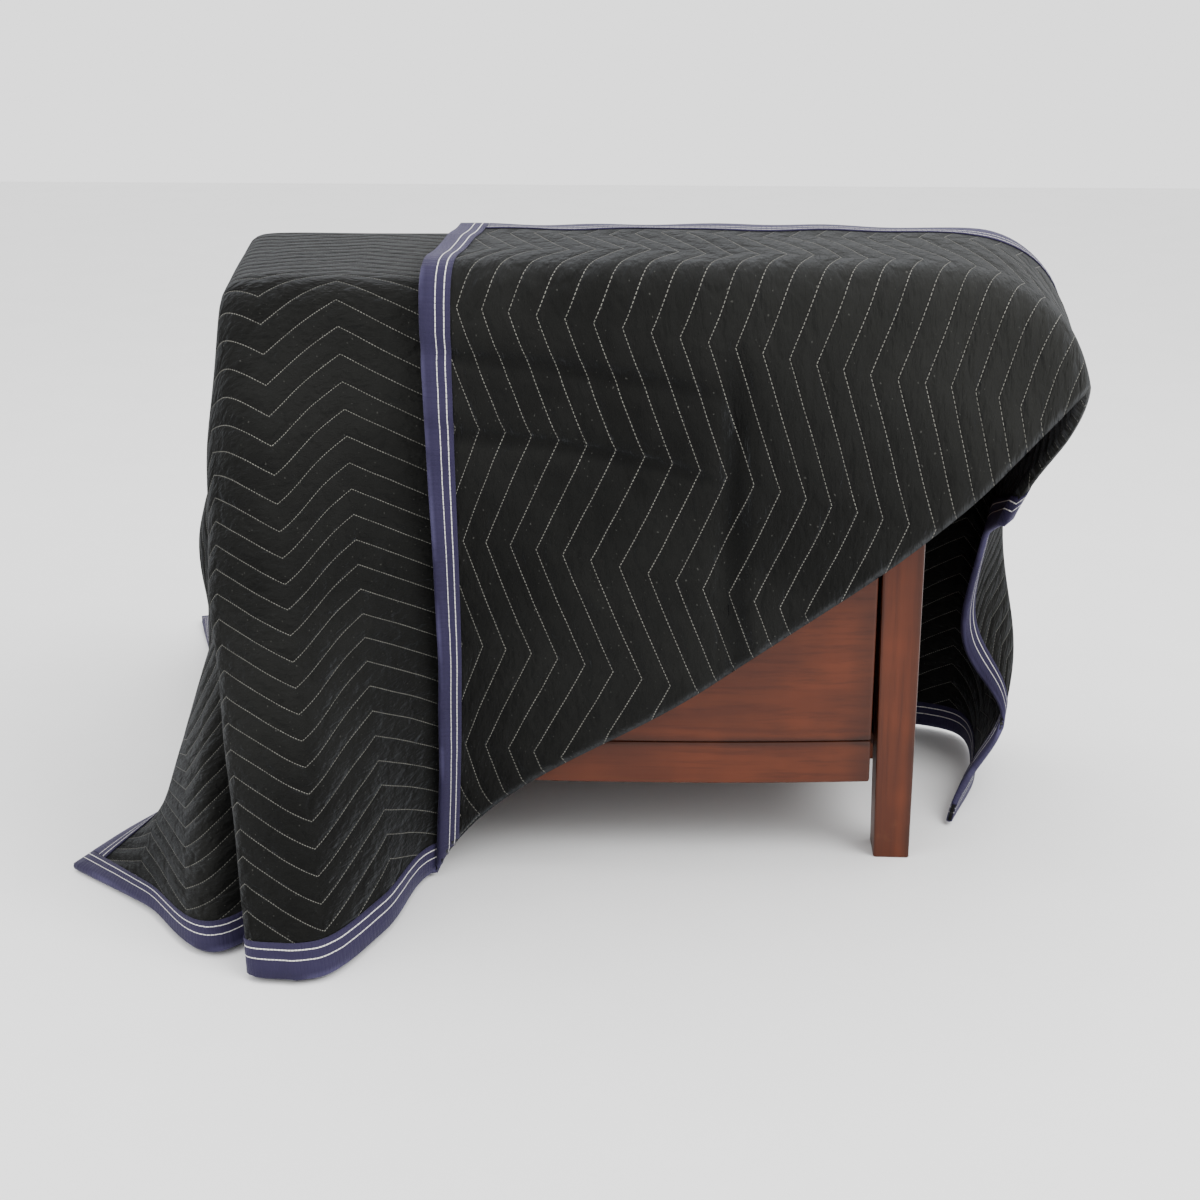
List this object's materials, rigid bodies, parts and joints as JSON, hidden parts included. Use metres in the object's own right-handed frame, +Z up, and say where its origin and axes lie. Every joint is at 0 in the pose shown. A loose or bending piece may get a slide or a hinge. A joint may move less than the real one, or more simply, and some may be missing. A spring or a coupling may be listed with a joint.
{
  "type": "quilted moving blanket draped over a bow-front chest",
  "caption": "Quilted dark moving blanket with a folded tape edge, draped over a plain bow-front wooden chest, one front corner folded back across the front",
  "frame": {"origin": "on the floor, under the middle of the whole object's bounding box", "axes": "+X along the chest to its right end, +Y from its front to its back, +Z up"},
  "size_m": [1.2512, 1.1775, 0.7238],
  "materials": {
    "quilted_cloth": "black non-woven cloth, quilted with pale thread",
    "binding_tape": "dark indigo woven tape with two rows of white stitches",
    "stained_wood": "reddish brown stained wood, satin"
  },
  "bodies": {
    "root": {"blanket": "quilted_cloth", "binding_front": "binding_tape", "binding_back": "binding_tape", "binding_left": "binding_tape", "binding_right": "binding_tape", "top_board": "stained_wood", "front_panel": "stained_wood", "front_rail": "stained_wood", "back_panel": "stained_wood", "side_left": "stained_wood", "side_right": "stained_wood", "bottom_board": "stained_wood", "leg_front_left": "stained_wood", "leg_front_right": "stained_wood", "leg_back_left": "stained_wood", "leg_back_right": "stained_wood"}
  },
  "joints": []
}
